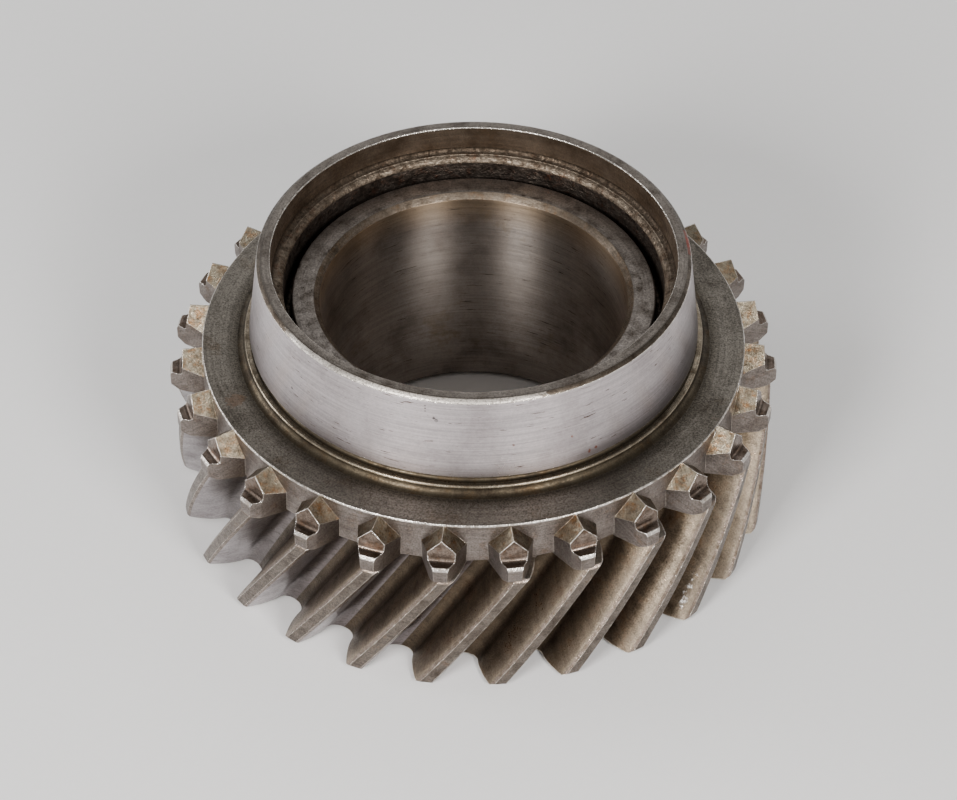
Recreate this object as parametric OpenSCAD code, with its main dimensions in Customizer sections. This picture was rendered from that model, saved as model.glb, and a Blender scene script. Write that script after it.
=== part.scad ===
// Mainshaft gear of a truck gearbox, forged, turned, cut and ground from one piece
// of steel. Dog teeth stand above its helical teeth, and a thin synchroniser cone
// stands on its flange round the hub. It lies on the thrust face of its hub, which
// is z = 0, with the bore along Z and the middle of one dog tooth over +X.

/* [Helical teeth] */
// Number of helical teeth, and of the dog teeth above them
teeth = 27; // [25:1:29]
// Normal module
normal_module = 3.95; // [3.8:0.05:4.1]
// Helix angle at the pitch circle, right hand
helix_angle = 33.5; // [28:0.5:35]
// Normal pressure angle
pressure_angle = 17.5; // [16:0.5:20]
// Tip circle above the pitch circle
addendum = 3.75; // [3.2:0.05:4.2]
// Root circle below the pitch circle
dedendum = 6.45; // [5.8:0.05:6.8]
// Thickness of a tooth on the pitch circle, in the plane of rotation
tooth_thickness = 6.2; // [5.8:0.1:6.8]
// Length of the teeth along the axis
face_width = 32.7; // [26:0.2:40]
// Chamfer along both edges of a tooth's land
land_chamfer = 0.4; // [0.2:0.05:0.6]
// Chamfer at both ends of the teeth
end_chamfer = 0.7; // [0.4:0.1:1]
// Rounding at the root of a tooth space
root_rounding = 2.3; // [1.6:0.1:2.6]
// Length in which the cutter leaves a tooth space below the dog teeth
run_out = 2.8; // [1.6:0.2:6]
// Angle from the middle of a dog tooth to the middle of the helical tooth under it
tooth_lead = 1.55; // [1:0.05:2]

/* [Dog teeth] */
// Height of the dog teeth, up to the flange face
dog_height = 10.5; // [9.8:0.1:13]
// Root circle of the dog teeth outside the root circle of the helical teeth
dog_root_rise = 3.5; // [2.6:0.1:4.2]
// Width of a dog tooth at its root circle
dog_root_width = 9.6; // [8.6:0.1:10]
// Width of a dog tooth just outside its upper face
dog_face_width = 5.7; // [5:0.1:6.4]
// Width of a dog tooth at its lip
dog_lip_width = 3.2; // [2.6:0.1:4]
// How far the upper face stands outside the root circle
dog_face_reach = 4.3; // [3.6:0.1:5]
// Lean of the upper face
dog_face_lean = 6.5; // [3:0.5:10]
// Slope of both sides of the roof
roof_angle = 45; // [40:1:50]
// Fall of the ridge towards the outside
ridge_fall = 4.5; // [2:0.5:7]
// Inner end of the ridge below the flange face
ridge_drop = 0.25; // [0.1:0.05:0.6]
// Back taper of both flanks
back_taper = 2; // [0.5:0.5:5]
// Height of the turned lip
lip_height = 4.6; // [4:0.1:5.4]
// How far the lip stands outside the tip circle of the helical teeth
lip_overhang = 0.8; // [0.5:0.1:1.2]
// Bevel along the top edge of the lip
lip_bevel = 0.8; // [0.4:0.1:1.1]
// Rounding in the corner behind the lip
notch_rounding = 0.9; // [0.5:0.1:1.2]

/* [Bore and hub] */
// Diameter of the bore
bore_d = 68.5; // [62:0.5:76]
// Chamfer at both ends of the bore
bore_chamfer = 1.4; // [0.6:0.1:2]
// Wall of the hub
hub_wall = 6.2; // [5:0.1:8]
// Height of the hub's end above the flange face
hub_height = 12.3; // [9:0.1:14.6]
// Chamfer round the outside of the hub's end
hub_edge = 0.4; // [0.2:0.1:0.8]

/* [Groove between hub and cone] */
// Width of the groove round the hub
groove_width = 1.8; // [1.3:0.1:2.6]
// Depth of the groove below the hub's end
groove_depth = 5; // [3:0.2:7]
// Width of the forged shoulder between the groove and the cone
shoulder_width = 2.55; // [2:0.05:4]
// Top of the forged shoulder below the cone's rim
shoulder_depth = 6.9; // [5.6:0.1:8]
// Fall of the shoulder towards the groove
shoulder_fall = 1.9; // [1:0.1:2.4]
// Rounding between the shoulder and the cone's inner wall
shoulder_rounding = 0.6; // [0.3:0.1:1]

/* [Synchroniser cone] */
// Height of the cone's rim above the flange face
cone_height = 23.7; // [21:0.1:27]
// Half angle of the cone
cone_angle = 7; // [5:0.5:9]
// Width of the flat on the rim
rim_flat = 2.15; // [1.6:0.05:3]
// Width of the chamfer round the rim
rim_chamfer = 0.95; // [0.5:0.05:1.4]
// Height of the chamfer round the rim
rim_chamfer_height = 0.8; // [0.5:0.05:1.4]
// Lower end of the ground cone above the flange face
cone_foot = 3.8; // [3.2:0.1:4.6]
// Depth of the relief groove under the cone
relief_depth = 0.9; // [0.5:0.1:1.2]
// Height of the collar below the relief groove
collar_height = 2.2; // [1.4:0.1:2.6]
// Width of the collar's top outside the cone's foot
collar_width = 1.2; // [0.8:0.1:1.8]
// Rounding of the collar's edge
collar_rounding = 0.4; // [0.2:0.1:0.6]
// Width of the hollow slope outside the collar
collar_slope = 2; // [1.5:0.1:2.6]

/* [Underside] */
// How far the hub's thrust face stands below the teeth
thrust_rise = 1; // [0.4:0.1:2]
// Width of the thrust face with the bore's chamfer
thrust_width = 9.5; // [8:0.5:11]
// Width of the turned recess round the thrust face
recess_width = 8; // [6:0.5:10]
// Depth of the turned recess from the thrust face
recess_depth = 3.5; // [2.5:0.1:5]
// Rounding in both corners of the recess
recess_rounding = 1.5; // [0.5:0.1:2]

/* [Hidden] */

curve_facets = 180;
steel = [0.53, 0.51, 0.49];

// Circles of the helical teeth
transverse_module = normal_module / cos(helix_angle);
pitch_r = teeth * transverse_module / 2;
transverse_pressure = atan(tan(pressure_angle) / cos(helix_angle));
base_r = pitch_r * cos(transverse_pressure);
tip_r = pitch_r + addendum;
root_r = pitch_r - dedendum;
pitch_step = 360 / teeth;
// Turn of the helix for each millimetre of height
turn_rate = tan(helix_angle) / pitch_r * 180 / PI;

// Heights above the thrust face
rim_foot_z = thrust_rise;
floor_z = rim_foot_z + face_width;
flange_z = floor_z + dog_height;
rim_z = flange_z + cone_height;
hub_z = flange_z + hub_height;
groove_floor_z = hub_z - groove_depth;
shoulder_z = rim_z - shoulder_depth;
foot_z = flange_z + cone_foot;
collar_z = flange_z + collar_height;
lip_z = floor_z + lip_height;

// Circles of the dog teeth
flange_r = root_r + dog_root_rise;
face_r = flange_r + dog_face_reach;
lip_r = tip_r + lip_overhang;
ridge_r = flange_r - 0.4;
shoulder_r = face_r + 0.8;

// Circles from the bore to the collar, each wall outside the one before it
bore_r = bore_d / 2;
hub_r = bore_r + hub_wall;
groove_r = hub_r + groove_width;
ring_r = groove_r + shoulder_width;
rim_r = ring_r + rim_flat;
cone_top_r = rim_r + rim_chamfer;
cone_top_z = rim_z - rim_chamfer_height;
cone_foot_r = cone_top_r + (cone_top_z - foot_z) * tan(cone_angle);
collar_r = cone_foot_r + collar_width;
slope_r = collar_r + collar_slope;
thrust_r = bore_r + thrust_width;
recess_r = thrust_r + recess_width;

// Points of an arc or a quarter of an ellipse in a turned section
function arc(r, z, wide, high, from, to, steps) =
    [for (i = [0:steps]) let (a = from + (to - from) * i / steps) [r + wide * cos(a), z + high * sin(a)]];

// Involute function of an angle, in degrees
function involute(a) = tan(a) * 180 / PI - a;

// Half angle of a tooth space between its flanks, at one radius
function space_half(r) =
    pitch_step / 2 - (tooth_thickness / (2 * pitch_r) * 180 / PI
    + involute(transverse_pressure) - involute(acos(min(1, base_r / r))));

// One side of a tooth space as pairs of radius and angle, from beside the middle
// of its root to outside the land, where the cutter has raised the root
past_r = tip_r + 0.6;
land_foot_r = tip_r - land_chamfer;
function space_side(rise) =
    let (form_r = root_r + rise + root_rounding)
    concat(
        [for (a = [28, 60]) [form_r - root_rounding * cos(a), space_half(form_r) * sin(a)]],
        [for (s = [0, 0.45, 1])
            let (r = form_r + (land_foot_r - form_r) * s) [r, space_half(r)]],
        [[past_r, space_half(land_foot_r) + (past_r - land_foot_r) / tip_r * 180 / PI]]);

// The whole outline of the space, from one side over the root to the other
function space_outline(rise) =
    let (side = space_side(rise), last = len(side) - 1)
    concat(
        [for (i = [last:-1:0]) [side[i][0], -side[i][1]]],
        [[root_r + rise, 0]],
        side);

// Sections of the space as pairs of height and rise of its root. The cutter
// leaves on a hollow curve that ends just above the floor, inside the flange.
past_end = 1;
run_out_top_z = floor_z + 0.4;
run_out_z = run_out_top_z - run_out;
run_out_rise = dog_root_rise + 1.2;
straight_steps = 5;
space_sections = concat(
    [for (i = [0:straight_steps])
        [rim_foot_z - past_end + (run_out_z - rim_foot_z + past_end) * i / straight_steps, 0]],
    [for (a = [35, 65, 90]) [run_out_z + run_out * sin(a), run_out_rise * (1 - cos(a))]]);

// Triangles of a solid lofted through sections with the same number of points
function loft_faces(sections, points) = concat(
    [[for (i = [points - 1:-1:0]) i]],
    [[for (i = [0:points - 1]) (sections - 1) * points + i]],
    [for (s = [0:sections - 2], i = [0:points - 1], half = [0, 1])
        let (a = s * points + i, b = s * points + (i + 1) % points)
        half == 0 ? [a, b, b + points] : [a, b + points, a + points]]);

// One helical tooth space, as the solid that the cutter removes, beside the dog
// tooth over +X. It stays clear of its neighbours outside the lands.
module tooth_space() {
    middle = pitch_step / 2 + tooth_lead;
    polyhedron(
        points = [for (s = space_sections, p = space_outline(s[1]))
            let (a = middle + p[1] + turn_rate * (s[0] - floor_z))
            [p[0] * cos(a), p[0] * sin(a), s[0]]],
        faces = loft_faces(len(space_sections), len(space_outline(0))));
}

// Half widths of a dog tooth at its middle height
dog_middle_z = floor_z + dog_height / 2;
root_to_face = (dog_root_width - dog_face_width) / 2 / (shoulder_r - flange_r);
face_to_lip = (dog_face_width - dog_lip_width) / 2 / (lip_r - shoulder_r);
function half_width(r) =
    dog_face_width / 2 + (shoulder_r - r) * (r < shoulder_r ? root_to_face : face_to_lip);
function ridge_z(r) =
    flange_z - ridge_drop - (r < ridge_r ? ridge_r - r : (r - ridge_r) * tan(ridge_fall));
function taper_at(z) = (z - dog_middle_z) * tan(back_taper);
// Half width where a flank meets the roof
function shoulder_half(r) =
    (half_width(r) + taper_at(ridge_z(r))) / (1 + tan(roof_angle) * tan(back_taper));

// One dog tooth before its outside is turned, over +X
module dog_blank() {
    foot_z = floor_z - 1;
    inside_r = flange_r - 1.5;
    outside_r = lip_r + 1;
    stations = [inside_r, ridge_r, shoulder_r, outside_r];
    polyhedron(
        points = [for (r = stations)
            let (low = half_width(r) + taper_at(foot_z), high = shoulder_half(r), top_z = ridge_z(r))
            each [
                [r, -low, foot_z],
                [r, -high, top_z - high * tan(roof_angle)],
                [r, 0, top_z],
                [r, high, top_z - high * tan(roof_angle)],
                [r, low, foot_z]]],
        faces = loft_faces(len(stations), 5));
}

// Section that the dog teeth are turned to: upper face, notch and lip. Its foot is
// let into the tops of the helical teeth.
module dog_section() {
    let_in = 0.25;
    face_foot_z = lip_z + notch_rounding;
    face_foot_r = face_r + (flange_z - face_foot_z) * tan(dog_face_lean);
    polygon(concat(
        [[flange_r - 1, floor_z - let_in], [tip_r - end_chamfer - let_in, floor_z - let_in]],
        [[lip_r, floor_z + lip_overhang], [lip_r, lip_z - lip_bevel], [lip_r - lip_bevel * 0.6, lip_z]],
        arc(face_foot_r + notch_rounding, face_foot_z, notch_rounding, notch_rounding, 270, 180, 5),
        [[face_r, flange_z], [flange_r - 1, flange_z]]));
}

module dog_teeth() {
    intersection() {
        rotate_extrude($fn = curve_facets) dog_section();
        union() {
            for (i = [0:teeth - 1]) rotate([0, 0, i * pitch_step]) dog_blank();
        }
    }
}

// Section of the turned blank: underside, rim, flange, collar, cone, groove, hub
module blank_section() {
    relief_z = (foot_z + collar_z) / 2;
    relief_half = (foot_z - collar_z) / 2;
    groove_half = groove_width / 2;
    polygon(concat(
        [[bore_r, bore_chamfer], [bore_r + bore_chamfer, 0], [thrust_r, 0]],
        arc(thrust_r + recess_rounding, recess_depth - recess_rounding,
            recess_rounding, recess_rounding, 180, 90, 4),
        arc(recess_r - recess_rounding, recess_depth - recess_rounding,
            recess_rounding, recess_rounding, 90, 0, 4),
        [[recess_r, rim_foot_z], [tip_r - end_chamfer, rim_foot_z], [tip_r, rim_foot_z + end_chamfer]],
        [[tip_r, floor_z - end_chamfer], [tip_r - end_chamfer, floor_z]],
        [[flange_r, floor_z], [flange_r, flange_z]],
        arc(slope_r, collar_z - collar_rounding, collar_slope, collar_height - collar_rounding, 270, 180, 5),
        arc(collar_r - collar_rounding, collar_z - collar_rounding, collar_rounding, collar_rounding, 30, 90, 2),
        arc(cone_foot_r, relief_z, relief_depth, relief_half, 270, 90, 6),
        [[cone_top_r, cone_top_z], [rim_r, rim_z], [ring_r, rim_z]],
        arc(ring_r - shoulder_rounding, shoulder_z + shoulder_rounding,
            shoulder_rounding, shoulder_rounding, 0, -90, 3),
        arc(ring_r - shoulder_rounding, shoulder_z - shoulder_fall,
            shoulder_width - shoulder_rounding, shoulder_fall, 112, 180, 4),
        arc(groove_r - groove_half, groove_floor_z + groove_half, groove_half, groove_half, 0, -180, 6),
        [[hub_r, hub_z - hub_edge], [hub_r - hub_edge, hub_z]],
        [[bore_r + bore_chamfer, hub_z], [bore_r, hub_z - bore_chamfer]]));
}

module mainshaft_gear() {
    color(steel)
    union() {
        difference() {
            rotate_extrude($fn = curve_facets) blank_section();
            for (i = [0:teeth - 1]) rotate([0, 0, i * pitch_step]) tooth_space();
        }
        dog_teeth();
    }
}

mainshaft_gear();
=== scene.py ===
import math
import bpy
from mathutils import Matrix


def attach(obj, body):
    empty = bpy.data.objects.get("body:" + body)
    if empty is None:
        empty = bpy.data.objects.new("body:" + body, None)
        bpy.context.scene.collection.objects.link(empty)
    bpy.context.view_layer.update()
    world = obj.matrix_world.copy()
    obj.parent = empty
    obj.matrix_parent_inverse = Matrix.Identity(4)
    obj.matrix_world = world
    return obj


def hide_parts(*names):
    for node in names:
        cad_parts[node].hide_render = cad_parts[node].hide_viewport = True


bl_info = {
    "name": "Mainshaft gear dressing",
    "version": (1, 0, 0),
    "blender": (4, 5, 0),
    "location": "3D View > Sidebar > Gear",
    "description": "Builds the worn steel gear, its finishes and the studio round it",
    "category": "Object",
}

import bmesh
import bpy
import numpy as np
from bpy.props import FloatProperty, FloatVectorProperty, IntProperty, PointerProperty, StringProperty
from mathutils import Matrix, Vector

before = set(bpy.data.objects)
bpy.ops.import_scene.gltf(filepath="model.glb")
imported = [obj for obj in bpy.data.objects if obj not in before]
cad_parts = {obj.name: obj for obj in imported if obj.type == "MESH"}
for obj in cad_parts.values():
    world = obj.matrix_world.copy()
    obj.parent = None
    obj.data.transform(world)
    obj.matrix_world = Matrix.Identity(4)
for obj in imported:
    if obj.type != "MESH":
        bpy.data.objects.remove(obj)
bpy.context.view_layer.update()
NODE = "mainshaft_gear"
MM = 0.001

# Sizes are in millimetres. The helical teeth are those of the photograph, on the pitch circle of the solid
TEETH = 26
STEP = 2 * math.pi / TEETH
HELIX = math.radians(31.6)
# Turn from the dog tooth over +X to the helical tooth under it
TOOTH_LEAD = math.radians(4.45)
PITCH_R = 63.9475
TOOTH_THICKNESS = 6.2
ROOT_ROUNDING = 2.3
END_CHAMFER = 0.7
PRESSURE = math.atan(math.tan(math.radians(17.5)) / math.cos(HELIX))
BASE_R = PITCH_R * math.cos(PRESSURE)
TURN_RATE = math.tan(HELIX) / PITCH_R
# Height in which the cutter leaves a tooth space, and how far it has raised the root at the top
RUN_OUT = 2.8
RUN_OUT_RISE = 4.7

# Dog teeth, the same as in the solid
DOGS = 27
DOG_STEP = 2 * math.pi / DOGS
DOG_ROOT_WIDTH = 9.6
DOG_FACE_WIDTH = 5.7
DOG_LIP_WIDTH = 3.2
BACK_TAPER = math.radians(2)
RIDGE_FALL = math.radians(4.5)
RIDGE_DROP = 0.25
FACE_LEAN = math.radians(6.5)
LIP_HEIGHT = 4.6
LIP_OVERHANG = 0.8
LIP_BEVEL = 0.8
NOTCH_ROUNDING = 0.9

# Heights and radii, the same as in the solid
RIM_FOOT_Z = 1.0
RECESS_Z = 3.5
FLOOR_Z = 33.7
FLANGE_Z = 44.2
HUB_Z = 56.5
RIM_Z = 67.9
TIP_R = PITCH_R + 3.75
ROOT_R = PITCH_R - 6.45
FLANGE_R = ROOT_R + 3.5
FACE_R = FLANGE_R + 4.3
LIP_R = TIP_R + LIP_OVERHANG
RIDGE_R = FLANGE_R - 0.4
DOG_SHOULDER_R = FACE_R + 0.8
BORE_R = 34.25
BORE_CHAMFER = 1.4
HUB_R = BORE_R + 6.2
GROOVE_WIDTH = 1.8
GROOVE_DEPTH = 5
GROOVE_R = HUB_R + GROOVE_WIDTH
SHOULDER_WIDTH = 2.55
SHOULDER_FALL = 1.9
CREST_INSET = 0.6
SHOULDER_Z = RIM_Z - 6.9
WALL_R = GROOVE_R + SHOULDER_WIDTH
RIM_R = WALL_R + 2.15
CONE_TOP_R = RIM_R + 0.95
CONE_TOP_Z = RIM_Z - 0.8
CONE_FOOT_Z = FLANGE_Z + 3.8
CONE_FOOT_R = CONE_TOP_R + (CONE_TOP_Z - CONE_FOOT_Z) * math.tan(math.radians(7))
RELIEF_DEPTH = 0.9
COLLAR_HEIGHT = 2.2
COLLAR_SLOPE = 2.0
COLLAR_Z = FLANGE_Z + COLLAR_HEIGHT
COLLAR_R = CONE_FOOT_R + 1.2
SLOPE_R = COLLAR_R + COLLAR_SLOPE
THRUST_R = BORE_R + 9.5
RECESS_R = THRUST_R + 8.0
RECESS_ROUNDING = 1.5

# Worn roundings, larger than in the solid or left out there
EDGE_BREAK = 0.25
DOG_EDGE_BREAK = 0.18
COLLAR_ROUNDING = 0.5
WALL_FILLET = 1.2

# How far a cutting shape reaches past what it cuts, and how far the dog teeth are let into the blank
PAST = 1.0
LET_IN = 0.25
DOG_ROOTED = 1.5

# Faces that meet at more than this stay a hard edge in the shading
SHARP_ANGLE = math.radians(30)

# Share of a band's width in which the clouds break it up
BAND_TEAR = 0.6
# Reach of worn edges, and of the softening that the shading gives to every edge
EDGE_REACH = 0.4
SOFT_EDGE = 0.2


def linear(hex_colour):
    """A hex colour in sRGB as linear red, green, blue and alpha."""
    values = [int(hex_colour[i:i + 2], 16) / 255 for i in (1, 3, 5)]
    return tuple(v / 12.92 if v <= 0.04045 else ((v + 0.055) / 1.055) ** 2.4 for v in values) + (1.0,)


def arc(r, z, wide, high, start, end, steps):
    """Points of an arc in a turned section, from one angle in degrees to another."""
    angles = np.radians(np.linspace(start, end, steps + 1))
    return [(r + wide * math.cos(a), z + high * math.sin(a)) for a in angles]


def hard(points):
    """The same points of a section, none of them to be rounded."""
    return [(r, z, 0) for r, z in points]


def rounded(points, radius, steps=4):
    """A closed section whose corners are rounded off by their softness times a radius."""
    result = []
    count = len(points)
    for i, (r, z, softness) in enumerate(points):
        if not softness:
            result.append((r, z))
            continue
        here = np.array((r, z))
        before = np.array(points[i - 1][:2]) - here
        after = np.array(points[(i + 1) % count][:2]) - here
        reach = min(radius * softness, np.linalg.norm(before) / 2.2, np.linalg.norm(after) / 2.2)
        start = here + before / np.linalg.norm(before) * reach
        end = here + after / np.linalg.norm(after) * reach
        for k in range(steps + 1):
            t = k / steps
            result.append(tuple((1 - t) ** 2 * start + 2 * t * (1 - t) * here + t * t * end))
    return result


def mesh_object(name, points, faces):
    """A mesh object in metres from points in millimetres."""
    mesh = bpy.data.meshes.new(name)
    mesh.from_pydata([(x * MM, y * MM, z * MM) for x, y, z in points], [], faces)
    shape = bmesh.new()
    shape.from_mesh(mesh)
    bmesh.ops.recalc_face_normals(shape, faces=shape.faces)
    shape.to_mesh(mesh)
    shape.free()
    obj = bpy.data.objects.new(name, mesh)
    bpy.context.scene.collection.objects.link(obj)
    return obj


def turned(name, section, segments):
    """A closed ring turned from a closed section of radii and heights."""
    count = len(section)
    points = []
    faces = []
    for k in range(segments):
        a = 2 * math.pi * (k + 0.5) / segments
        points += [(r * math.cos(a), r * math.sin(a), z) for r, z in section]
        after = (k + 1) % segments
        for i in range(count):
            j = (i + 1) % count
            faces.append((k * count + i, after * count + i, after * count + j, k * count + j))
    return mesh_object(name, points, faces)


def lofts(name, bodies):
    """Closed solids lofted through sections with the same number of points, as one object."""
    points = []
    faces = []
    for sections in bodies:
        start = len(points)
        count = len(sections[0])
        for section in sections:
            points += section
        for s in range(len(sections) - 1):
            for i in range(count):
                a = start + s * count + i
                b = start + s * count + (i + 1) % count
                faces.append((a, b, b + count, a + count))
        faces.append(tuple(start + i for i in reversed(range(count))))
        last = start + (len(sections) - 1) * count
        faces.append(tuple(last + i for i in range(count)))
    return mesh_object(name, points, faces)


def combine(target, tool, operation):
    """Cuts, joins or intersects the target with the tool and removes the tool."""
    modifier = target.modifiers.new("combine", "BOOLEAN")
    modifier.object = tool
    modifier.operation = operation
    modifier.solver = "MANIFOLD"
    graph = bpy.context.evaluated_depsgraph_get()
    result = bpy.data.meshes.new_from_object(target.evaluated_get(graph))
    target.modifiers.clear()
    target.data = result
    bpy.data.objects.remove(tool)
    if not result.polygons:
        raise RuntimeError("the boolean left nothing of " + target.name)


def involute(angle):
    """The involute function, in radians."""
    return math.tan(angle) - angle


def space_half(r):
    """Half angle between the flanks of a tooth space at one radius, in radians."""
    tooth = TOOTH_THICKNESS / (2 * PITCH_R) + involute(PRESSURE)
    return STEP / 2 - (tooth - involute(math.acos(min(1.0, BASE_R / r))))


def space_outline(rise, chamfer):
    """Outline of a tooth space as radius and angle, where the cutter has raised its root."""
    form_r = ROOT_R + rise + ROOT_ROUNDING
    foot_r = TIP_R - chamfer
    past_r = TIP_R + 0.6
    side = [(form_r - ROOT_ROUNDING * math.cos(a), space_half(form_r) * math.sin(a))
            for a in np.radians(np.linspace(9, 81, 8))]
    side += [(r, space_half(r)) for r in np.linspace(form_r, foot_r, 9)]
    side.append((past_r, space_half(foot_r) + (past_r - foot_r) / TIP_R))
    return [(r, -a) for r, a in reversed(side)] + [(ROOT_R + rise, 0.0)] + side


def space_levels(steps):
    """Heights of the sections of a tooth space, each with the rise of its root."""
    foot_z = RIM_FOOT_Z - PAST
    top_z = FLOOR_Z + 0.4
    straight_z = top_z - RUN_OUT
    levels = [(z, 0.0) for z in np.linspace(foot_z, straight_z, steps)]
    for a in np.radians(np.linspace(13, 90, 7)):
        levels.append((straight_z + RUN_OUT * math.sin(a), RUN_OUT_RISE * (1 - math.cos(a))))
    return levels


def tooth_spaces(steps, chamfer):
    """Sections of the cutting shape for each space between two helical teeth."""
    spaces = []
    for k in range(TEETH):
        middle = (k + 0.5) * STEP + TOOTH_LEAD
        body = []
        for z, rise in space_levels(steps):
            turn = middle + TURN_RATE * (z - FLOOR_Z)
            body.append([(r * math.cos(turn + a), r * math.sin(turn + a), z)
                         for r, a in space_outline(rise, chamfer)])
        spaces.append(body)
    return spaces


def dog_width(r):
    """Half width of a dog tooth at its middle height."""
    inner = (DOG_ROOT_WIDTH - DOG_FACE_WIDTH) / 2 / (DOG_SHOULDER_R - FLANGE_R)
    outer = (DOG_FACE_WIDTH - DOG_LIP_WIDTH) / 2 / (LIP_R - DOG_SHOULDER_R)
    return DOG_FACE_WIDTH / 2 + (DOG_SHOULDER_R - r) * (inner if r < DOG_SHOULDER_R else outer)


def dog_stations():
    """Sections of one dog tooth from inside the flange to outside its lip, over +X."""
    taper = math.tan(BACK_TAPER)
    foot_z = FLOOR_Z - PAST
    middle_z = (FLOOR_Z + FLANGE_Z) / 2
    stations = []
    for r in (FLANGE_R - DOG_ROOTED, RIDGE_R, DOG_SHOULDER_R, LIP_R + PAST):
        drop = RIDGE_R - r if r < RIDGE_R else (r - RIDGE_R) * math.tan(RIDGE_FALL)
        top_z = FLANGE_Z - RIDGE_DROP - drop
        foot_half = dog_width(r) + (foot_z - middle_z) * taper
        roof_half = (dog_width(r) + (top_z - middle_z) * taper) / (1 + taper)
        roof_z = top_z - roof_half
        stations.append([(r, -foot_half, foot_z), (r, -roof_half, roof_z), (r, 0.0, top_z),
                         (r, roof_half, roof_z), (r, foot_half, foot_z)])
    return stations


def dog_teeth():
    """Sections of every dog tooth round the gear."""
    dogs = []
    for k in range(DOGS):
        c = math.cos(k * DOG_STEP)
        s = math.sin(k * DOG_STEP)
        dogs.append([[(x * c - y * s, x * s + y * c, z) for x, y, z in station]
                     for station in dog_stations()])
    return dogs


def dog_section():
    """Section that the dog teeth are turned to: upper face, notch and lip."""
    lip_z = FLOOR_Z + LIP_HEIGHT
    foot_z = lip_z + NOTCH_ROUNDING
    foot_r = FACE_R + (FLANGE_Z - foot_z) * math.tan(FACE_LEAN)
    points = [(FLANGE_R - PAST, FLOOR_Z - LET_IN, 0), (TIP_R - END_CHAMFER - LET_IN, FLOOR_Z - LET_IN, 0)]
    points += [(LIP_R, FLOOR_Z + LIP_OVERHANG, 1), (LIP_R, lip_z - LIP_BEVEL, 1)]
    points.append((LIP_R - LIP_BEVEL * 0.6, lip_z, 1))
    points += hard(arc(foot_r + NOTCH_ROUNDING, foot_z, NOTCH_ROUNDING, NOTCH_ROUNDING, 270, 180, 7))
    points += [(FACE_R, FLANGE_Z, 0), (FLANGE_R - PAST, FLANGE_Z, 0)]
    return rounded(points, DOG_EDGE_BREAK)


def blank_section():
    """Section of the turned blank with its small edge breaks, each point with its softness."""
    recess_z = RECESS_Z - RECESS_ROUNDING
    collar_z = COLLAR_Z - COLLAR_ROUNDING
    relief_z = (CONE_FOOT_Z + COLLAR_Z) / 2
    relief_half = (CONE_FOOT_Z - COLLAR_Z) / 2
    groove_half = GROOVE_WIDTH / 2
    groove_z = HUB_Z - GROOVE_DEPTH + groove_half
    points = [(BORE_R, BORE_CHAMFER, 1), (BORE_R + BORE_CHAMFER, 0, 1), (THRUST_R, 0, 1)]
    points += hard(arc(THRUST_R + RECESS_ROUNDING, recess_z, RECESS_ROUNDING, RECESS_ROUNDING, 180, 90, 6))
    points += hard(arc(RECESS_R - RECESS_ROUNDING, recess_z, RECESS_ROUNDING, RECESS_ROUNDING, 90, 0, 6))
    points += [(RECESS_R, RIM_FOOT_Z, 1), (TIP_R - END_CHAMFER, RIM_FOOT_Z, 1)]
    points += [(TIP_R, RIM_FOOT_Z + END_CHAMFER, 1), (TIP_R, FLOOR_Z - END_CHAMFER, 1)]
    points += [(TIP_R - END_CHAMFER, FLOOR_Z, 1), (FLANGE_R, FLOOR_Z, 0), (FLANGE_R, FLANGE_Z, 2)]
    points += hard(arc(SLOPE_R, collar_z, COLLAR_SLOPE, COLLAR_HEIGHT - COLLAR_ROUNDING, 270, 180, 8))
    points += hard(arc(COLLAR_R - COLLAR_ROUNDING, collar_z, COLLAR_ROUNDING, COLLAR_ROUNDING, 12, 90, 5))
    points += hard(arc(CONE_FOOT_R, relief_z, RELIEF_DEPTH, relief_half, 268, 92, 10))
    for t in np.linspace(0.02, 0.94, 9):
        points.append((CONE_FOOT_R + (CONE_TOP_R - CONE_FOOT_R) * t,
                       CONE_FOOT_Z + (CONE_TOP_Z - CONE_FOOT_Z) * t, 0))
    points += [(CONE_TOP_R, CONE_TOP_Z, 1.5), (RIM_R, RIM_Z, 1.2), (WALL_R, RIM_Z, 1.5)]
    points += hard(arc(WALL_R - WALL_FILLET, SHOULDER_Z + WALL_FILLET, WALL_FILLET, WALL_FILLET, 0, -90, 6))
    points += hard(arc(WALL_R - CREST_INSET, SHOULDER_Z - SHOULDER_FALL, SHOULDER_WIDTH - CREST_INSET,
                       SHOULDER_FALL, 110, 178, 7))
    points += hard(arc(GROOVE_R - groove_half, groove_z, groove_half, groove_half, 0, -180, 8))
    points += [(HUB_R, HUB_Z, 1.6), (BORE_R + BORE_CHAMFER, HUB_Z, 1), (BORE_R, HUB_Z - BORE_CHAMFER, 1)]
    return rounded(points, EDGE_BREAK)


def add_node(tree, kind, inputs, **settings):
    """Adds one shader node with its settings; each input is a fixed value or the socket it is linked to."""
    node = tree.nodes.new(kind)
    for key, value in settings.items():
        setattr(node, key, value)
    for key, item in inputs.items():
        if isinstance(item, bpy.types.NodeSocket):
            tree.links.new(item, node.inputs[key])
        else:
            node.inputs[key].default_value = item
    return node


def places(tree):
    """Position in millimetres, radius, height and the unit vector away from the axis."""
    coords = add_node(tree, "ShaderNodeTexCoord", {}).outputs["Object"]
    position = add_node(tree, "ShaderNodeVectorMath", {0: coords, "Scale": 1 / MM},
                        operation="SCALE").outputs[0]
    flat = add_node(tree, "ShaderNodeVectorMath", {0: position, 1: (1, 1, 0)},
                    operation="MULTIPLY").outputs[0]
    return {
        "position": position,
        "radius": add_node(tree, "ShaderNodeVectorMath", {0: flat}, operation="LENGTH").outputs["Value"],
        "height": add_node(tree, "ShaderNodeSeparateXYZ", {0: position}).outputs[2],
        "away": add_node(tree, "ShaderNodeVectorMath", {0: flat}, operation="NORMALIZE").outputs[0],
    }


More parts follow.
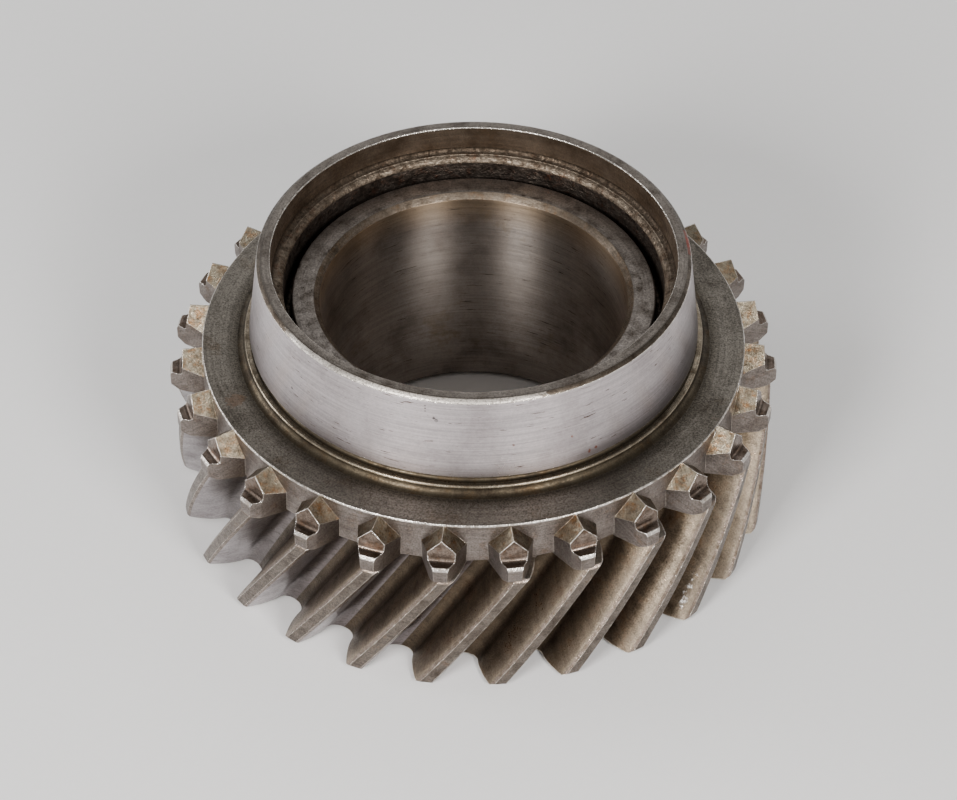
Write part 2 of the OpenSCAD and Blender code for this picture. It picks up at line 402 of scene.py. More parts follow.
def tool_marks(tree, place, pitch, length):
    """Fine marks left by a tool that runs round the axis, a pitch apart and about a length long."""
    mean_radius = 50
    slant = add_node(tree, "ShaderNodeMath", {0: place["height"], 1: 1.37, 2: place["radius"]},
                     operation="MULTIPLY_ADD").outputs[0]
    across = add_node(tree, "ShaderNodeMath", {0: slant, 1: 1 / pitch}, operation="MULTIPLY").outputs[0]
    up = add_node(tree, "ShaderNodeCombineXYZ", {2: across}).outputs[0]
    spread = (mean_radius / length,) * 3
    run = add_node(tree, "ShaderNodeVectorMath", {0: place["away"], 1: spread, 2: up},
                   operation="MULTIPLY_ADD").outputs[0]
    return add_node(tree, "ShaderNodeTexNoise",
                    {"Vector": run, "Scale": 1.0, "Detail": 3.0, "Roughness": 0.7}).outputs[0]


def worn_edges(tree, chips):
    """Near 1 where a proud edge is worn bright, in a band whose width the chips vary."""
    bevel = add_node(tree, "ShaderNodeBevel", {"Radius": EDGE_REACH * MM}, samples=6).outputs[0]
    shape = add_node(tree, "ShaderNodeNewGeometry", {})
    facing = add_node(tree, "ShaderNodeVectorMath", {0: bevel, 1: shape.outputs["Normal"]},
                      operation="DOT_PRODUCT").outputs["Value"]
    near = add_node(tree, "ShaderNodeMapRange",
                    {"Value": facing, "From Min": 0.998, "From Max": 0.985}).outputs[0]
    proud = add_node(tree, "ShaderNodeMapRange",
                     {"Value": shape.outputs["Pointiness"], "From Min": 0.49, "From Max": 0.53}).outputs[0]
    ragged = add_node(tree, "ShaderNodeMath", {0: chips, 1: 0.5, 2: facing},
                      operation="MULTIPLY_ADD").outputs[0]
    edge = add_node(tree, "ShaderNodeMapRange",
                    {"Value": ragged, "From Min": 1.17, "From Max": 1.11, "To Max": 1.2}).outputs[0]
    edge = add_node(tree, "ShaderNodeMath", {0: edge, 1: near}, operation="MULTIPLY").outputs[0]
    return add_node(tree, "ShaderNodeMath", {0: edge, 1: proud},
                    operation="MULTIPLY", use_clamp=True).outputs[0]


def ragged_patch(tree, place, centre, reach, ragged):
    """1 within a ragged patch round one point of the gear, in millimetres."""
    outer = reach + ragged
    away = add_node(tree, "ShaderNodeVectorMath", {0: place["position"], 1: centre},
                    operation="DISTANCE").outputs["Value"]
    tear = add_node(tree, "ShaderNodeTexNoise",
                    {"Vector": place["position"], "Scale": 1.1, "Detail": 5.0, "Roughness": 0.75}).outputs[0]
    away = add_node(tree, "ShaderNodeMath", {0: tear, 1: ragged * 2, 2: away},
                    operation="MULTIPLY_ADD").outputs[0]
    return add_node(tree, "ShaderNodeMapRange",
                    {"Value": away, "From Min": outer, "From Max": outer * 0.9}).outputs[0]


def worn_colour(tree, place, noises, clean, grime, pit_dark, tint, bands):
    """Colour of worn steel before its nicks, patches and edges, from its clouds, pits and tool marks."""
    cloud, pits, streaks, cloud_share = noises
    cover = add_node(tree, "ShaderNodeMapRange",
                     {"Value": cloud, "From Min": 0.4 + cloud_share * 0.4,
                      "From Max": 0.12 + cloud_share * 0.4}).outputs[0]
    colour = add_node(tree, "ShaderNodeMix", {0: cover, 6: linear(clean), 7: linear(grime)},
                      data_type="RGBA").outputs[2]
    if tint:
        tint_colour, tint_size, tint_share = tint
        stain = add_node(tree, "ShaderNodeTexNoise",
                         {"Vector": place["position"], "Scale": 1 / tint_size, "Detail": 5.0,
                          "Roughness": 0.75}).outputs[0]
        stain = add_node(tree, "ShaderNodeMapRange",
                         {"Value": stain, "From Min": 0.6 - tint_share * 0.3,
                          "From Max": 0.85 - tint_share * 0.3}).outputs[0]
        colour = add_node(tree, "ShaderNodeMix", {0: stain, 6: colour, 7: linear(tint_colour)},
                          data_type="RGBA").outputs[2]
    for along, start, full, band_colour, share in bands:
        if isinstance(along, str):
            depth = place[along]
        else:
            depth = add_node(tree, "ShaderNodeVectorMath", {0: place["position"], 1: along},
                             operation="DOT_PRODUCT").outputs["Value"]
        tear = BAND_TEAR * (full - start)
        uneven = add_node(tree, "ShaderNodeMath", {0: cloud, 1: tear, 2: depth},
                          operation="MULTIPLY_ADD").outputs[0]
        mask = add_node(tree, "ShaderNodeMapRange",
                        {"Value": uneven, "From Min": start + tear / 2, "From Max": full + tear / 2,
                         "To Max": share}).outputs[0]
        colour = add_node(tree, "ShaderNodeMix", {0: mask, 6: colour, 7: linear(band_colour)},
                          data_type="RGBA").outputs[2]
    tone = add_node(tree, "ShaderNodeMapRange", {"Value": streaks, "From Min": 0.3, "From Max": 0.65,
                                                 "To Min": 0.72, "To Max": 1.05}).outputs[0]
    dark = add_node(tree, "ShaderNodeMapRange",
                    {"Value": pits, "From Min": 0.3, "From Max": 0.7, "To Min": 1 - pit_dark,
                     "To Max": 1 + pit_dark * 0.5}).outputs[0]
    shade = add_node(tree, "ShaderNodeMath", {0: tone, 1: dark}, operation="MULTIPLY").outputs[0]
    return add_node(tree, "ShaderNodeMix", {0: 1.0, 6: colour, 7: shade},
                    data_type="RGBA", blend_type="MULTIPLY").outputs[2]


def worn_steel(name, clean, grime, edge, smooth, clouds, marks, grain, tint=None, shine=0.0, patches=(),
               flecks=None, wear=1.0, bands=()):
    """Worn bare steel.

    clean, grime and edge are colours; smooth is the least and most roughness; clouds is the size in
    millimetres and the share of the grime; marks is the pitch, length and depth of the tool marks; grain
    is the size, depth and darkness of the pits; tint is a colour, a size and a share; shine is how far
    the reflections are drawn out across the marks; patches are centres, reaches, raggedness, colours and
    shares; flecks is the colour, width and length of short dark nicks; wear is how far the edges shine; and
    bands are zones along the radius, the height or a direction, each with the places in millimetres where it
    starts and is full, a colour and a share.
    """
    material = bpy.data.materials.new(name)
    material.use_nodes = True
    tree = material.node_tree
    tree.nodes.clear()
    place = places(tree)
    cloud_size, cloud_share = clouds
    mark_pitch, mark_length, mark_depth = marks
    pit_size, pit_depth, pit_dark = grain
    least_rough, most_rough = smooth
    streaks = tool_marks(tree, place, mark_pitch, mark_length)
    cloud = add_node(tree, "ShaderNodeTexNoise", {"Vector": place["position"], "Scale": 1 / cloud_size,
                                                  "Detail": 5.0, "Roughness": 0.62}).outputs[0]
    pits = add_node(tree, "ShaderNodeTexNoise", {"Vector": place["position"], "Scale": 1 / pit_size,
                                                 "Detail": 2.0, "Roughness": 0.8}).outputs[0]
    colour = worn_colour(tree, place, (cloud, pits, streaks, cloud_share), clean, grime, pit_dark,
                         tint, bands)
    if flecks:
        fleck_colour, fleck_width, fleck_length = flecks
        nicks = tool_marks(tree, place, fleck_width, fleck_length)
        nicks = add_node(tree, "ShaderNodeMapRange",
                         {"Value": nicks, "From Min": 0.64, "From Max": 0.69}).outputs[0]
        colour = add_node(tree, "ShaderNodeMix", {0: nicks, 6: colour, 7: linear(fleck_colour)},
                          data_type="RGBA").outputs[2]
    for centre, reach, ragged, patch_colour, share in patches:
        mask = ragged_patch(tree, place, centre, reach, ragged)
        broken = add_node(tree, "ShaderNodeMapRange", {"Value": pits, "From Min": 0.36, "From Max": 0.54,
                                                       "To Min": share * 0.3, "To Max": share}).outputs[0]
        mask = add_node(tree, "ShaderNodeMath", {0: mask, 1: broken}, operation="MULTIPLY").outputs[0]
        colour = add_node(tree, "ShaderNodeMix", {0: mask, 6: colour, 7: linear(patch_colour)},
                          data_type="RGBA").outputs[2]
    # Chips along the edges are about a millimetre wide
    chips = add_node(tree, "ShaderNodeTexNoise", {"Vector": place["position"], "Scale": 1.0,
                                                  "Detail": 3.0, "Roughness": 0.7}).outputs[0]
    worn = worn_edges(tree, chips)
    worn = add_node(tree, "ShaderNodeMath", {0: worn, 1: wear}, operation="MULTIPLY").outputs[0]
    colour = add_node(tree, "ShaderNodeMix", {0: worn, 6: colour, 7: linear(edge)},
                      data_type="RGBA").outputs[2]
    # Clouds, worn edges and pits vary the gloss
    rough = add_node(tree, "ShaderNodeMapRange", {"Value": cloud, "From Min": 0.3, "From Max": 0.7,
                                                  "To Min": most_rough, "To Max": least_rough}).outputs[0]
    rough = add_node(tree, "ShaderNodeMath", {0: worn, 1: -0.1, 2: rough},
                     operation="MULTIPLY_ADD").outputs[0]
    matt = add_node(tree, "ShaderNodeMapRange",
                    {"Value": pits, "From Min": 0.3, "From Max": 0.7, "To Min": pit_dark * 0.25,
                     "To Max": pit_dark * -0.25}).outputs[0]
    rough = add_node(tree, "ShaderNodeMath", {0: rough, 1: matt}).outputs[0]
    # Pits, tool marks and chipped edges stand in the surface, by depths in millimetres
    relief = add_node(tree, "ShaderNodeMath", {0: pits, 1: pit_depth}, operation="MULTIPLY").outputs[0]
    relief = add_node(tree, "ShaderNodeMath", {0: streaks, 1: mark_depth, 2: relief},
                      operation="MULTIPLY_ADD").outputs[0]
    nicked = add_node(tree, "ShaderNodeMath", {0: worn, 1: chips}, operation="MULTIPLY").outputs[0]
    relief = add_node(tree, "ShaderNodeMath", {0: nicked, 1: 0.25, 2: relief},
                      operation="MULTIPLY_ADD").outputs[0]
    soft = add_node(tree, "ShaderNodeBevel", {"Radius": SOFT_EDGE * MM}, samples=6).outputs[0]
    bump = add_node(tree, "ShaderNodeBump",
                    {"Strength": 1.0, "Distance": MM, "Height": relief, "Normal": soft}).outputs[0]
    inputs = {"Base Color": colour, "Roughness": rough, "Metallic": 1.0, "Normal": bump}
    if shine:
        inputs["Anisotropic"] = shine
        inputs["Anisotropic Rotation"] = 0.25
        inputs["Tangent"] = add_node(tree, "ShaderNodeTangent", {},
                                     direction_type="RADIAL", axis="Z").outputs[0]
    surface = add_node(tree, "ShaderNodeBsdfPrincipled", inputs)
    add_node(tree, "ShaderNodeOutputMaterial", {"Surface": surface.outputs[0]})
    return material


def ground_cone():
    # Case-hardened steel, ground: a light satin face drawn out by marks round it, with short dark nicks, a
    # ding and rust specks in front, a painted dark reflection round its foot and painted shade low on its
    # right
    ding = "#2e2622"
    tick = "#3a302b"
    rust = "#7f3f2b"
    return worn_steel("ground_steel_cone", "#c0b8b9", "#988f90", "#f4efe8", smooth=(0.28, 0.38),
                      clouds=(16, 0.3), marks=(0.5, 22, 0.011), grain=(0.6, 0.004, 0.12), shine=0.75,
                      patches=(((-6.3, -48.0, 62.9), 0.4, 0.5, ding, 0.95),
                               ((-5.7, -48.1, 62.3), 0.4, 0.5, ding, 0.95),
                               ((-8.1, -47.4, 65.8), 0.2, 0.2, tick, 0.9),
                               ((-8.1, -47.5, 65.1), 0.2, 0.2, tick, 0.9),
                               ((-8.1, -47.6, 64.4), 0.2, 0.2, tick, 0.9),
                               ((22.8, -43.8, 54.9), 0.4, 0.6, "#8a5038", 0.9),
                               ((10.5, -48.1, 55.9), 0.4, 0.6, "#6f4636", 0.8),
                               ((26.6, -42.3, 49.5), 0.4, 0.8, rust, 0.9),
                               ((28.0, -41.5, 49.8), 0.4, 0.8, rust, 0.9),
                               ((-37.8, -31.8, 55.1), 0.4, 0.6, tick, 0.8)),
                      flecks=("#55443b", 0.6, 5),
                      # Painted dark reflection round the foot of the cone, then painted shade low on its
                      # right
                      bands=(("height", CONE_FOOT_Z + 3.5, CONE_FOOT_Z, "#7c7372", 0.6),
                             ((0.7, 0.0, -1.0), -34.0, -19.0, "#6a6364", 0.7)))


def turned_rim():
    # Turned steel under a thin oil film: grey-brown with fine rings, chipped bright along both edges
    return worn_steel("turned_steel_rim", "#8f877f", "#5f564e", "#fbf7f0", smooth=(0.3, 0.44),
                      clouds=(5, 0.4), marks=(0.4, 60, 0.07), grain=(0.45, 0.04, 0.5), shine=0.4)


def stained_chamfer():
    # Turned steel under baked oil: dark brown with bright specks along its edges, lighter in front
    # and with a red smear on its right
    return worn_steel("stained_steel_chamfer", "#62594f", "#40372f", "#efe8dc", smooth=(0.36, 0.5),
                      clouds=(3, 0.5), marks=(0.5, 20, 0.03), grain=(0.5, 0.05, 0.4),
                      patches=(((-14.0, -46.0, 67.4), 32.0, 6.0, "#d8d0c6", 0.85),
                               ((46.9, 8.9, 67.4), 1.9, 0.8, "#8c4438", 0.6),
                               ((47.2, 6.4, 67.4), 1.9, 0.8, "#9c3f33", 0.7),
                               ((47.4, 3.6, 67.4), 1.6, 0.8, "#8c4438", 0.5)))


def oiled_wall():
    # Turned steel under a brown oil film: mottled, with soft streaks round it
    return worn_steel("oiled_steel_wall", "#8f7e6d", "#5c4d3f", "#c9bfae", smooth=(0.44, 0.54),
                      clouds=(7, 0.55), marks=(0.8, 30, 0.02), grain=(0.6, 0.03, 0.4),
                      tint=("#74604d", 8, 0.35), wear=0.3)


def rubbed_shoulder():
    # Hot-forged steel, turned only at its top: a soft lumpy ridge, speckled grey over brown
    return worn_steel("rubbed_steel_shoulder", "#8d8071", "#54473b", "#b5aa9a", smooth=(0.46, 0.6),
                      clouds=(2.2, 0.55), marks=(1.2, 6, 0.08), grain=(0.8, 0.22, 0.6),
                      tint=("#6b4a36", 2.6, 0.2), wear=0.3,
                      bands=(("radius", WALL_R - 1.1, WALL_R - 0.3, "#43382e", 0.8),))


def forged_scale():
    # Hot-forged steel with its scale left on: dark, lumpy and rough
    return worn_steel("forged_steel_scale", "#6a6058", "#332b26", "#9c9184", smooth=(0.42, 0.6),
                      clouds=(2.4, 0.6), marks=(1.6, 9, 0.08), grain=(1.1, 0.35, 0.6),
                      tint=("#5d3a29", 2.2, 0.2), wear=0.3)


def turned_hub():
    # Turned and hardened steel: grey, with dark rubbed marks
    return worn_steel("turned_steel_hub", "#978f88", "#5d544c", "#cfc6b8", smooth=(0.34, 0.48),
                      clouds=(3.5, 0.42), marks=(0.5, 25, 0.02), grain=(0.5, 0.03, 0.45), shine=0.3,
                      flecks=("#3f3730", 1.0, 5), wear=0.8)


def dull_mouth():
    # Chamfer at the mouth of the bore: turned steel under brown oil, with a few bright nicks
    return worn_steel("oiled_steel_mouth", "#766b5f", "#51473c", "#e6ddcf", smooth=(0.4, 0.52),
                      clouds=(2.6, 0.45), marks=(0.4, 14, 0.03), grain=(0.45, 0.03, 0.4),
                      tint=("#6d5640", 2.4, 0.25))


def honed_bore():
    # Honed steel run on a needle bearing: short streaks and glossy bands round it, straw-brown at its mouth
    return worn_steel("honed_steel_bore", "#a79d95", "#736860", "#c9bfae", smooth=(0.34, 0.4),
                      clouds=(14, 0.32), marks=(0.7, 20, 0.024), grain=(0.5, 0.004, 0.15),
                      tint=("#7d6a4c", 18, 0.1), shine=0.9, flecks=("#4b3f36", 0.8, 12), wear=0.5,
                      bands=(("height", HUB_Z - 9.5, HUB_Z - 2.5, "#a98e6c", 0.6),))


def dull_flange():
    # Hardened steel under burnt oil: dull grey, finely pitted and speckled, with a touch of rust
    return worn_steel("dull_steel_flange", "#918a80", "#5f584f", "#fffdf8", smooth=(0.38, 0.5),
                      clouds=(12, 0.38), marks=(0.5, 30, 0.02), grain=(0.38, 0.07, 0.62),
                      tint=("#6f5e4a", 9, 0.12),
                      patches=(((-51.4, -24.5, 44.2), 2.2, 2.6, "#7a5a41", 0.5),),
                      # Darker towards the slope beside the collar
                      bands=(("radius", SLOPE_R + 2.6, SLOPE_R, "#4d463b", 0.75),))


def rubbed_edges():
    # Edges of flange and rim, battered and rubbed nearly white in use: sparkling, broken by chips
    return worn_steel("rubbed_steel_edges", "#efe9e0", "#8d8175", "#ffffff", smooth=(0.2, 0.36),
                      clouds=(0.9, 0.5), marks=(0.5, 4, 0.05), grain=(0.5, 0.12, 0.5))


def collar_painted_highlight():
    # Turned steel on the collar's top, gold-grey with specks, made bright there as a painted highlight
    return worn_steel("turned_steel_collar_painted_highlight", "#a99d8a", "#6c604f", "#f6eede", smooth=(0.26, 0.4),
                      clouds=(2.4, 0.45), marks=(0.5, 30, 0.03), grain=(0.45, 0.04, 0.45),
                      tint=("#8a6445", 0.9, 0.15), shine=0.4)


def turned_slope():
    # Turned steel in the hollows beside the collar: dark olive brown, with fine rings
    return worn_steel("turned_steel_slope", "#5a5143", "#3a3229", "#8f8474", smooth=(0.4, 0.52),
                      clouds=(5, 0.5), marks=(0.45, 50, 0.06), grain=(0.45, 0.03, 0.4),
                      tint=("#54432f", 4, 0.3), shine=0.3, wear=0.2)


def rusty_roofs():
    # Shaped and hardened steel rubbed by the sleeve: a rust tint, pits and chipped bright edges
    return worn_steel("shaped_steel_roofs", "#8d8473", "#5b4f41", "#e9e2d7", smooth=(0.32, 0.46),
                      clouds=(2.0, 0.5), marks=(0.8, 6, 0.006), grain=(0.4, 0.07, 0.5),
                      tint=("#7d5733", 1.8, 0.38), wear=0.8)


def cut_wall():
    # Shaped and hardened steel: rosy grey-brown with a fine sandy grain
    return worn_steel("shaped_steel_wall", "#867d77", "#675d56", "#e3dacd", smooth=(0.36, 0.48),
                      clouds=(5, 0.4), marks=(0.9, 8, 0.008), grain=(0.35, 0.05, 0.45),
                      tint=("#75604f", 3, 0.2), wear=0.3)


def cut_noses():
    # Turned steel in the notch and above it: brown and glossy under old oil
    return worn_steel("turned_steel_noses", "#84766c", "#54463a", "#f6f1ea", smooth=(0.26, 0.38),
                      clouds=(1.8, 0.5), marks=(0.6, 10, 0.03), grain=(0.4, 0.03, 0.4),
                      tint=("#6e5039", 2.0, 0.25))


def polished_lips():
    # Bevels of the lips, polished by the sleeve: nearly white and sparkling
    return worn_steel("polished_steel_lips", "#ddd6ce", "#9a8d80", "#ffffff", smooth=(0.2, 0.34),
                      clouds=(1.2, 0.45), marks=(0.5, 6, 0.03), grain=(0.4, 0.08, 0.4))


def torn_metal(rises, reach, ragged, colour, share):
    """Small patches low on one oily flank, up its helix by rises in millimetres."""
    return tuple(((49.5 + 0.41 * rise, -43.0 + 0.473 * rise, 7.6 + rise), reach, ragged, colour, share)
                 for rise in rises)


def oily_flanks():
    # Hobbed and hardened steel flanks under old oil: olive brown, rubbed brighter towards the tips, with a
    # broken silver streak of torn metal low on one tooth and painted shade towards the root
    return worn_steel("hobbed_steel_flanks", "#7b6d5b", "#504437", "#d8cebd", smooth=(0.32, 0.46),
                      clouds=(5, 0.5), marks=(1.8, 16, 0.006), grain=(0.36, 0.07, 0.45),
                      tint=("#6d5136", 5, 0.28),
                      patches=(torn_metal((-3.0, -1.8, -0.5, 0.9), 1.2, 1.3, "#f6f3ef", 0.9)
                               + torn_metal((2.3, 3.7, 5.0), 1.0, 1.4, "#e6e1da", 0.85)
                               + torn_metal((-1.2, 0.3, 1.6, 3.0, 4.4), 0.7, 0.8, "#3f352d", 0.85)),
                      bands=(("radius", TIP_R - 4.0, TIP_R - 0.6, "#b5a795", 0.45),
                             # Painted shade, darker towards the root
                             ("radius", ROOT_R + 3.6, ROOT_R + 0.8, "#463c32", 0.7)))


def rubbed_flanks():
    # The flanks that carried the load: rubbed to a smooth lilac-grey, with painted shade in the root
    return worn_steel("rubbed_steel_flanks", "#b0a9ab", "#8a8081", "#c8beb0", smooth=(0.3, 0.4),
                      clouds=(7, 0.38), marks=(1.6, 16, 0.003), grain=(0.5, 0.015, 0.3),
                      flecks=("#463d3a", 0.9, 3),
                      # Painted shade, darker towards the root
                      bands=(("radius", ROOT_R + 3.4, ROOT_R + 0.8, "#544b47", 0.7),))


def ground_lands():
    # Ground steel lands: grey, with fine marks across each tooth
    return worn_steel("ground_steel_lands", "#7c736b", "#564c44", "#d9d0c4", smooth=(0.34, 0.46),
                      clouds=(3, 0.4), marks=(0.5, 6, 0.05), grain=(0.35, 0.05, 0.5),
                      tint=("#7a6350", 3, 0.15))


def tan_chamfers():
    # Chamfers brushed along the lands: tan and sparkling, nicked by use
    return worn_steel("brushed_steel_chamfers", "#94857a", "#655747", "#fff8ee", smooth=(0.28, 0.4),
                      clouds=(1.2, 0.45), marks=(0.4, 4, 0.06), grain=(0.4, 0.08, 0.5))


def paper_floor(colour):
    # Matt white paper: soft shadows, no gloss, a faint fibre in its tone
    paper = bpy.data.materials.new("white_paper_floor")
    paper.use_nodes = True
    tree = paper.node_tree
    tree.nodes.clear()
    fibre = add_node(tree, "ShaderNodeTexNoise",
                     {"Vector": places(tree)["position"], "Scale": 0.5, "Detail": 3.0}).outputs[0]
    tone = add_node(tree, "ShaderNodeMapRange", {"Value": fibre, "To Min": 0.97}).outputs[0]
    toned = add_node(tree, "ShaderNodeMix", {0: 1.0, 6: colour, 7: tone},
                     data_type="RGBA", blend_type="MULTIPLY").outputs[2]
    surface = add_node(tree, "ShaderNodeBsdfPrincipled", {"Roughness": 0.85, "Base Color": toned})
    add_node(tree, "ShaderNodeOutputMaterial", {"Surface": surface.outputs[0]})
    return paper


FINISHES = (
    ground_cone, turned_rim, stained_chamfer, oiled_wall, rubbed_shoulder, forged_scale, turned_hub,
    dull_mouth, honed_bore, dull_flange, rubbed_edges, collar_painted_highlight, turned_slope, rusty_roofs, cut_wall,
    cut_noses, polished_lips, oily_flanks, rubbed_flanks, ground_lands, tan_chamfers,
)


def finish_above(r, z, out, up):
    """Finish of a face above the flange by its place in millimetres and its normal."""
    scale_top = RIM_Z - 8.4
    shoulder_top = RIM_Z - 4.6
    inner_edge = z > RIM_Z - 0.3 and r < WALL_R + 0.3 and up < 0.97
    cone_edge = abs(z - CONE_TOP_Z) < 0.22 and out > 0.9
    if r < BORE_R + 0.3 and abs(up) < 0.3:
        return honed_bore
    if r < BORE_R + 1.3 and up < 0.9:
        return dull_mouth
    if r < HUB_R + 0.1:
        return turned_hub
    if r < WALL_R - 0.03 and z < scale_top:
        return forged_scale
    if r < WALL_R + 0.1 and z < shoulder_top:
        return rubbed_shoulder
    if inner_edge or cone_edge:
        return rubbed_edges
    if r < WALL_R + 0.1 and z < RIM_Z - 0.3:
        return oiled_wall
    if up > 0.9 and z > RIM_Z - 0.4:
        return turned_rim
    if z > CONE_TOP_Z - 0.1:
        return stained_chamfer
    if z > CONE_FOOT_Z - 0.05:
        return ground_cone
    # The collar's top gets the finish with the painted highlight
    if COLLAR_R - 1.3 < r < COLLAR_R + 0.1 and z > COLLAR_Z - COLLAR_ROUNDING:
        return collar_painted_highlight
    if r < SLOPE_R + 0.3 and z > FLANGE_Z + 0.05:
        return turned_slope
    return dull_flange


def finish_of_dogs(r, z, out, up):
    """Finish of a face in the ring of dog teeth by its place in millimetres and its normal."""
    roof_foot = FLOOR_Z + 6.0
    bevel_foot = FLOOR_Z + 3.7
    nose_foot = FLOOR_Z + 4.5
    if up > 0.9 and z < FLOOR_Z + 0.3:
        return dull_flange
    if up > 0.5 and z > roof_foot:
        return rusty_roofs
    if r > LIP_R - 0.6 and z > bevel_foot and up > 0.2:
        return polished_lips
    if r > FACE_R - 0.5 and z > nose_foot and (out > 0.5 or up > 0.05):
        return cut_noses
    return cut_wall


def finish_of(r, z, out, up):
    """Finish of a face by its place in millimetres and its normal."""
    if abs(r - FLANGE_R + 0.25) < 0.3 and FLANGE_Z - 0.55 < z < FLANGE_Z and 0.1 < up < 0.985:
        return rubbed_edges
    if z > FLANGE_Z - 0.02:
        return finish_above(r, z, out, up)
    if r < BORE_R + 0.3:
        return honed_bore
    if r < RECESS_R + 0.2 or (up < -0.9 and z < RIM_FOOT_Z + 0.1):
        return turned_hub
    if z > FLOOR_Z - 0.3:
        return finish_of_dogs(r, z, out, up)
    if r > TIP_R - 0.06:
        return ground_lands
    if r > TIP_R - 0.62 and out > 0.5:
        return tan_chamfers
    if up < 0.0:
        return rubbed_flanks
    return oily_flanks


# Soft square lights: name, size, azimuth, elevation, distance, power and colour
LIGHTS = (
    ("left_softbox", 0.34, -30, 30, 1.2, 15.0, (1.0, 0.985, 0.97)),
    ("right_softbox", 0.36, 33, 30, 1.2, 12.0, (1.0, 0.98, 0.96)),
    ("left_side_softbox", 0.5, -100, 12, 1.3, 7.0, (0.97, 0.98, 1.0)),
    ("back_softbox", 0.9, 178, 45, 1.4, 1.6, (1.0, 1.0, 1.0)),
)
# Heights that the lights and the camera point at, in metres
LIGHT_AIM_Z = 0.04
CAMERA_AIM_Z = 0.0433


def make_studio_light(name, size, azimuth, elevation, distance, power, colour):
    """One soft square light that points at the gear from a direction given in degrees."""
    data = bpy.data.lights.new(name, "AREA")
    data.shape = "SQUARE"
    data.size = size
    data.energy = power
    data.color = colour
    a = math.radians(azimuth)
    e = math.radians(elevation)
    away = Vector((math.sin(a) * math.cos(e), -math.cos(a) * math.cos(e), math.sin(e)))
    lamp = bpy.data.objects.new(name, data)
    lamp.location = Vector((0, 0, LIGHT_AIM_Z)) + away * distance
    lamp.rotation_euler = away.to_track_quat("Z", "Y").to_euler()
    bpy.context.scene.collection.objects.link(lamp)


def turned_towards(first, second, angle):
    """Two axes turned by a small angle, the first towards the second."""
    return (first * math.cos(angle) + second * math.sin(angle),
            second * math.cos(angle) - first * math.sin(angle))


class GearSizes(bpy.types.PropertyGroup):
    """Sizes of the dressed gear that a user would change."""
    segments: IntProperty(
        name="Segments", description="Number of segments round the turned faces, a multiple of the dog teeth",
        default=432, min=108, max=1080)
    sections: IntProperty(
        name="Sections", description="Sections along each helical tooth", default=14, min=4, max=40)
    land_chamfer: FloatProperty(
        name="Land chamfer", description="Chamfer along the edges of the helical teeth in millimetres",
        default=0.6, min=0.1, max=0.8)


class StudioSizes(bpy.types.PropertyGroup):
    """Camera and floor of the studio."""
    distance: FloatProperty(
        name="Distance", description="Camera distance from the gear", default=0.6955, min=0.2, unit="LENGTH")
    elevation: FloatProperty(
        name="Elevation", description="Camera height angle", default=math.radians(41.74), unit="ROTATION")
    azimuth: FloatProperty(
        name="Azimuth", description="Turn of the camera round the gear", default=math.radians(2.42),
        unit="ROTATION")
    lens: FloatProperty(
        name="Lens", description="Focal length in millimetres on a 36 mm sensor", default=116.14, min=20)
    floor_colour: FloatVectorProperty(
        name="Floor colour", description="Colour of the pale floor", subtype="COLOR", size=4,
        default=linear("#f4f3f2"), min=0, max=1)
    floor_name: StringProperty(
        name="Floor name", description="Name of the floor object", default="studio_floor")


class GEAR_OT_build(bpy.types.Operator):
    """Build the detailed gear in place of its plain solid"""
    bl_idname = "gear.build"
    bl_label = "Build gear"

    def execute(self, context):
        sizes = context.scene.gear_sizes
        gear = turned("worn_mainshaft_gear", blank_section(), sizes.segments)
        spaces = lofts("tooth_spaces", tooth_spaces(sizes.sections, sizes.land_chamfer))
        combine(gear, spaces, "DIFFERENCE")
        dog_ring = lofts("dog_teeth", dog_teeth())
        combine(dog_ring, turned("dog_outline", dog_section(), sizes.segments), "INTERSECT")
        combine(gear, dog_ring, "UNION")
        self.dress(gear.data)
        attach(gear, "root")
        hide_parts(NODE)
        return {"FINISHED"}

    def dress(self, mesh):
        """Gives each face of the gear its finish and its shading."""
        mesh.materials.clear()
        for finish in FINISHES:
            mesh.materials.append(finish())
        for face in mesh.polygons:
            centre = face.center / MM
            r = math.hypot(centre.x, centre.y)
            out = (face.normal.x * centre.x + face.normal.y * centre.y) / r
            face.material_index = FINISHES.index(finish_of(r, centre.z, out, face.normal.z))
            face.use_smooth = True
        mesh.set_sharp_from_angle(angle=SHARP_ANGLE)


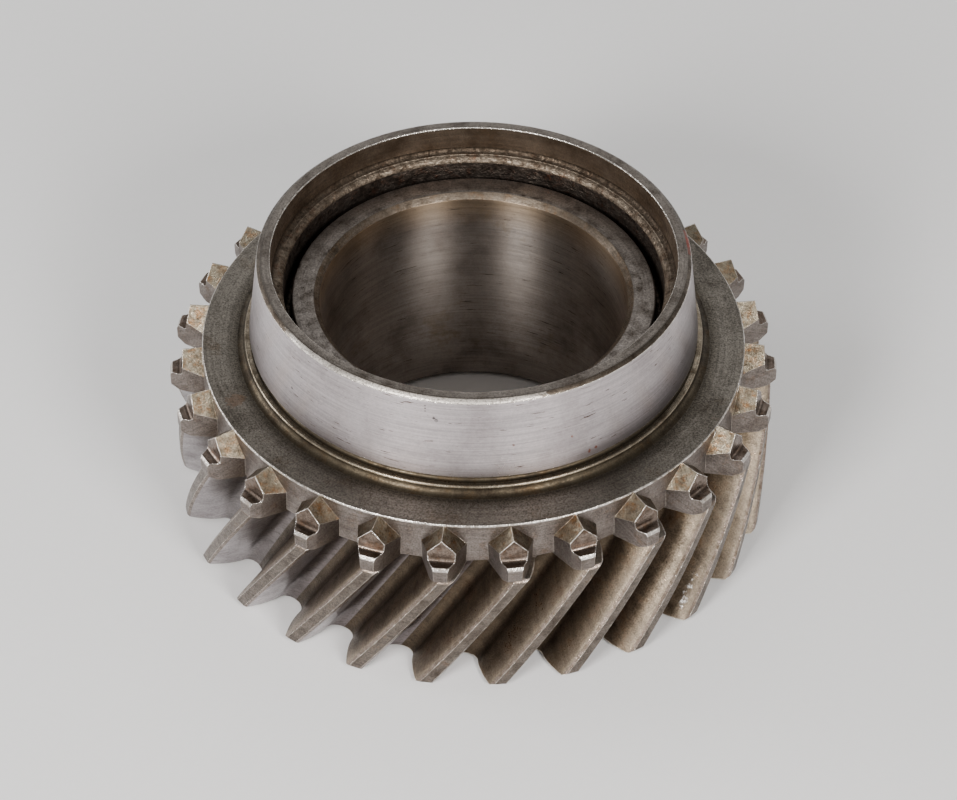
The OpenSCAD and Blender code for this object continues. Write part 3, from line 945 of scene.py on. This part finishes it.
class GEAR_OT_stage(bpy.types.Operator):
    """Set up the pale floor, the soft lights and the camera"""
    bl_idname = "gear.stage"
    bl_label = "Set up studio"

    def execute(self, context):
        studio = context.scene.studio_sizes
        mesh = bpy.data.meshes.new(studio.floor_name)
        shape = bmesh.new()
        bmesh.ops.create_grid(shape, x_segments=8, y_segments=8, size=3.0)
        shape.to_mesh(mesh)
        shape.free()
        mesh.materials.append(paper_floor(tuple(studio.floor_colour)))
        floor = bpy.data.objects.new(studio.floor_name, mesh)
        context.scene.collection.objects.link(floor)
        self.light(context)
        self.camera(context, studio)
        return {"FINISHED"}

    def light(self, context):
        """Lights the room and adds the soft lights."""
        world = bpy.data.worlds.new("studio_room")
        context.scene.world = world
        world.use_nodes = True
        tree = world.node_tree
        tree.nodes.clear()
        direction = add_node(tree, "ShaderNodeTexCoord", {}).outputs["Generated"]
        height = add_node(tree, "ShaderNodeSeparateXYZ", {0: direction}).outputs[2]
        # The room is pale round the gear and dark overhead, so upward faces of the steel look dark
        glow = add_node(tree, "ShaderNodeMapRange", {"Value": height, "From Min": 0.1, "From Max": 0.5,
                                                     "To Min": 1.3, "To Max": 0.24}).outputs[0]
        surface = add_node(tree, "ShaderNodeBackground", {"Strength": 1.0, "Color": glow})
        add_node(tree, "ShaderNodeOutputWorld", {"Surface": surface.outputs[0]})
        for light in LIGHTS:
            make_studio_light(*light)

    def camera(self, context, studio):
        """Sets the camera at the photograph's viewing angle, with the small turns that frame it alike."""
        up_turn, side_turn, roll = -0.020565, 0.001664, 0.00381
        e = studio.elevation
        ahead = Vector((0, math.cos(e), -math.sin(e)))
        right = Vector((1, 0, 0))
        up = right.cross(ahead)
        place = -ahead * studio.distance
        ahead, right = turned_towards(ahead, right, side_turn)
        ahead, up = turned_towards(ahead, up, up_turn)
        right, up = turned_towards(right, up, roll)
        turn = Matrix.Rotation(studio.azimuth, 3, "Z")
        axes = Matrix((turn @ right, turn @ up, turn @ -ahead)).transposed()
        data = bpy.data.cameras.new("photo_camera")
        data.sensor_fit = "HORIZONTAL"
        data.sensor_width = 36.0
        data.lens = studio.lens
        camera = bpy.data.objects.new("photo_camera", data)
        aim = Vector((0, 0, CAMERA_AIM_Z))
        camera.matrix_world = Matrix.Translation(turn @ place + aim) @ axes.to_4x4()
        context.scene.collection.objects.link(camera)
        context.scene.camera = camera


class GEAR_PT_panel(bpy.types.Panel):
    """Panel that lists the sizes and the steps"""
    bl_label = "Mainshaft gear"
    bl_idname = "GEAR_PT_panel"
    bl_space_type = "VIEW_3D"
    bl_region_type = "UI"
    bl_category = "Gear"

    def draw(self, context):
        layout = self.layout
        for group in (context.scene.gear_sizes, context.scene.studio_sizes):
            for name in group.__annotations__:
                layout.prop(group, name)
        layout.operator("gear.build")
        layout.operator("gear.stage")


CLASSES = (GearSizes, StudioSizes, GEAR_OT_build, GEAR_OT_stage, GEAR_PT_panel)


def register():
    """Registers the classes and hangs the sizes on the scene."""
    for item in CLASSES:
        bpy.utils.register_class(item)
    bpy.types.Scene.gear_sizes = PointerProperty(type=GearSizes)
    bpy.types.Scene.studio_sizes = PointerProperty(type=StudioSizes)


def unregister():
    """Takes the sizes off the scene and unregisters the classes."""
    del bpy.types.Scene.studio_sizes
    del bpy.types.Scene.gear_sizes
    for item in reversed(CLASSES):
        bpy.utils.unregister_class(item)


def main():
    """Builds the gear and its studio."""
    register()
    bpy.ops.gear.build()
    bpy.ops.gear.stage()


if __name__ == "__main__":
    main()
